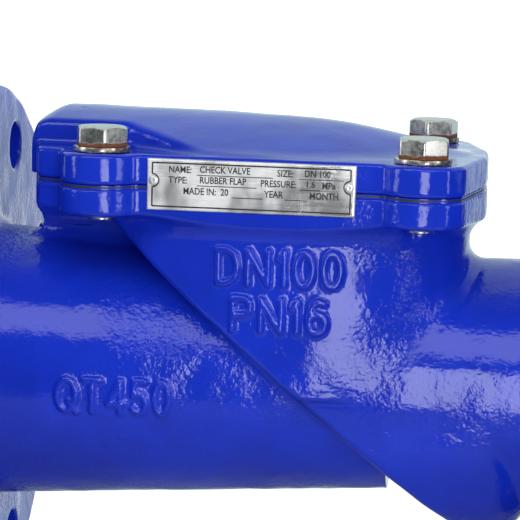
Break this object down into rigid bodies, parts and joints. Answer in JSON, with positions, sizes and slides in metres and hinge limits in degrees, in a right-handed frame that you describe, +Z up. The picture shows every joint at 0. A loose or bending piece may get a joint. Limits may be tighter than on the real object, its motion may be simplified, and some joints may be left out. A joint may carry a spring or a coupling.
{
  "type": "flanged rubber-flap check valve",
  "caption": "Flanged swing check valve with a sloping seat, a rubber flap hinged under a bolted top cover, and straight pipe ends.",
  "frame": {"origin": "on the pipe axis, halfway between the two flange faces", "axes": "+X along the pipe from inlet to outlet, +Z up through the top cover"},
  "size_m": [0.292, 0.22, 0.22],
  "materials": {
    "blue_epoxy_body": "glossy fusion-bonded epoxy over ductile iron",
    "blue_epoxy_cover": "glossy fusion-bonded epoxy over ductile iron",
    "gasket_rubber": "matt black sheet rubber",
    "flap_rubber": "matt black moulded rubber",
    "steel_rod": "drawn steel rod",
    "steel_core": "rolled steel plate",
    "nylon_ply": "woven nylon, dipped for bonding",
    "plate_metal": "polished printed plate",
    "rivet_aluminium": "domed drive rivet",
    "zinc_bolt": "zinc-plated, with rust at the lower edge",
    "zinc_washer": "zinc-plated, lightly stained"
  },
  "bodies": {
    "valve": {"valve_body": "blue_epoxy_body", "bonnet": "blue_epoxy_cover", "bonnet_gasket": "gasket_rubber", "hinge_bead": "flap_rubber", "hinge_bead_rod": "steel_rod", "nameplate": "plate_metal", "nameplate_rivet_left": "rivet_aluminium", "nameplate_rivet_right": "rivet_aluminium", "cover_bolt_front_left": "zinc_bolt", "cover_bolt_front_right": "zinc_bolt", "cover_bolt_rear_left": "zinc_bolt", "cover_bolt_rear_right": "zinc_bolt", "washer_front_left": "zinc_washer", "washer_front_right": "zinc_washer", "washer_rear_left": "zinc_washer", "washer_rear_right": "zinc_washer"},
    "flap": {"flap_rubber": "flap_rubber", "flap_core_plate": "steel_core", "flap_fabric_ply": "nylon_ply", "hinge_tongue": "flap_rubber"}
  },
  "joints": [
    {"name": "flap_swing", "type": "hinge", "parent": "valve", "child": "flap", "pos_m": [-0.06807, 0, 0.077], "axis": [0, -1, 0], "range_deg": [0, 35], "deforming": ["hinge_tongue"]}
  ]
}
